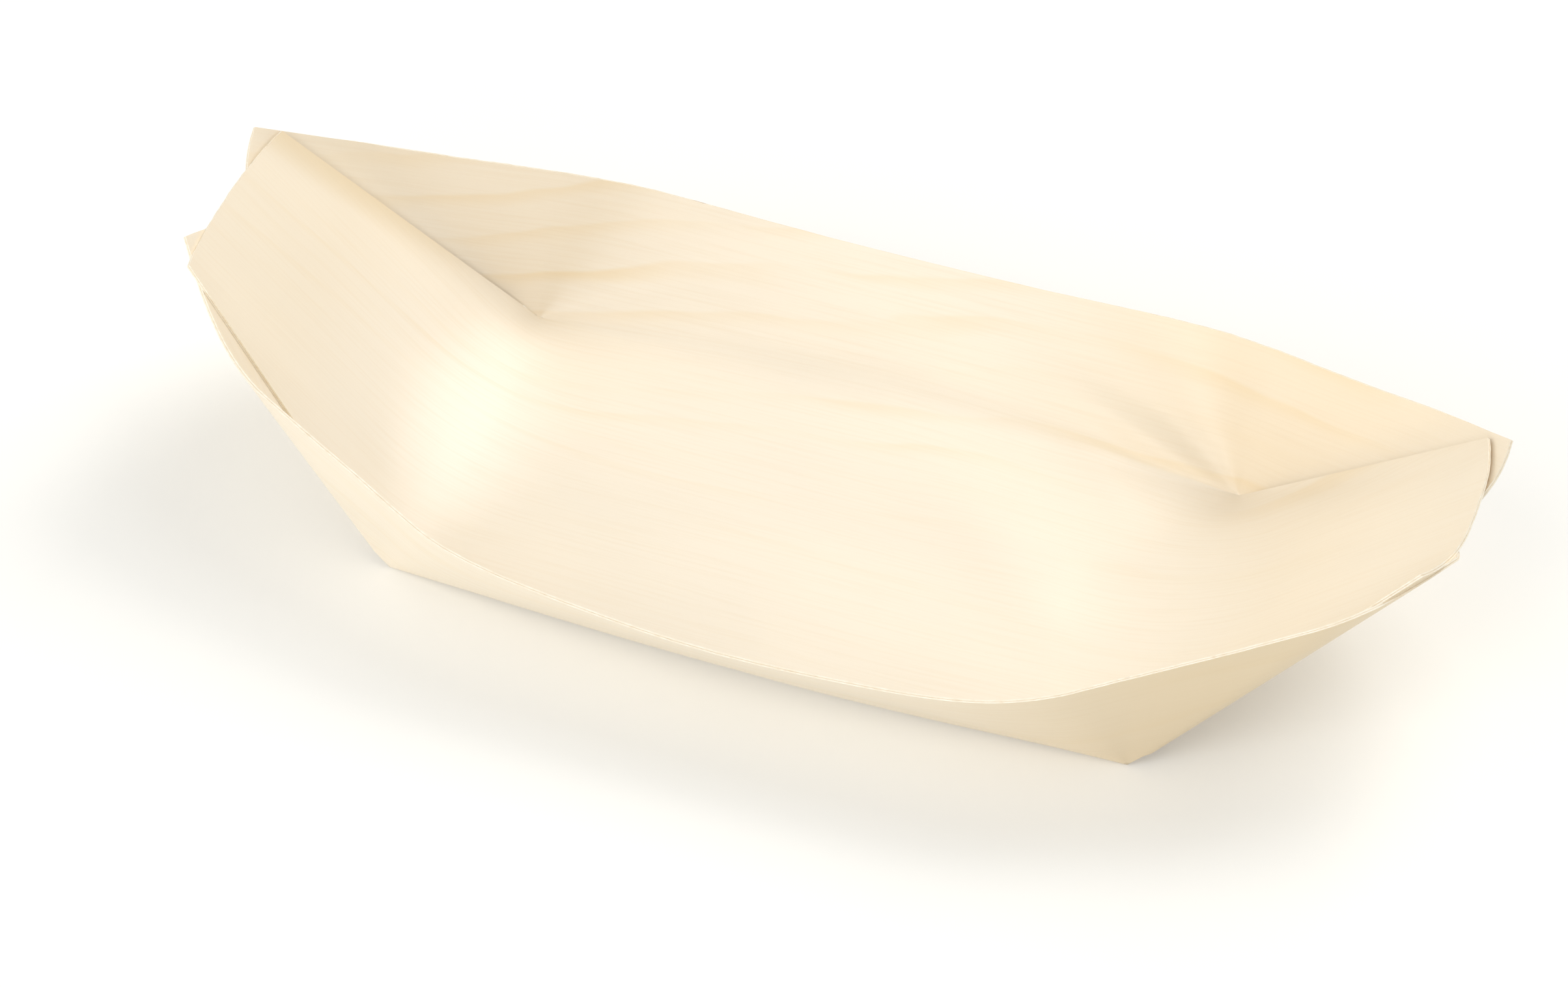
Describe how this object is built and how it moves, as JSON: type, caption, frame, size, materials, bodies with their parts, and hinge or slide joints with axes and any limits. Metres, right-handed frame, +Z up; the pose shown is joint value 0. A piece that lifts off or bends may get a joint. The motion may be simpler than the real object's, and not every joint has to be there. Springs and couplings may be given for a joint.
{
  "type": "wooden snack boat",
  "caption": "Disposable tray folded from one slit blank of thin veneer: flat floor, sloping sides, end tabs turned up inside crossed and glued flaps; holds snacks.",
  "frame": {"origin": "underside of the floor, at the middle of the floor", "axes": "+X along the boat, towards the end with the flatter tab; +Y across it, towards the side whose flaps lie outermost; +Z up"},
  "size_m": [0.2197, 0.1058, 0.0428],
  "materials": {
    "veneer": "bare, finely sliced",
    "paper": "matte",
    "glue": "dried film"
  },
  "bodies": {
    "root": {"inner_veneer": "veneer", "paper_core": "paper", "outer_veneer": "veneer", "left_inner_lap_glue": "glue", "left_outer_lap_glue": "glue", "right_inner_lap_glue": "glue", "right_outer_lap_glue": "glue"}
  },
  "joints": []
}
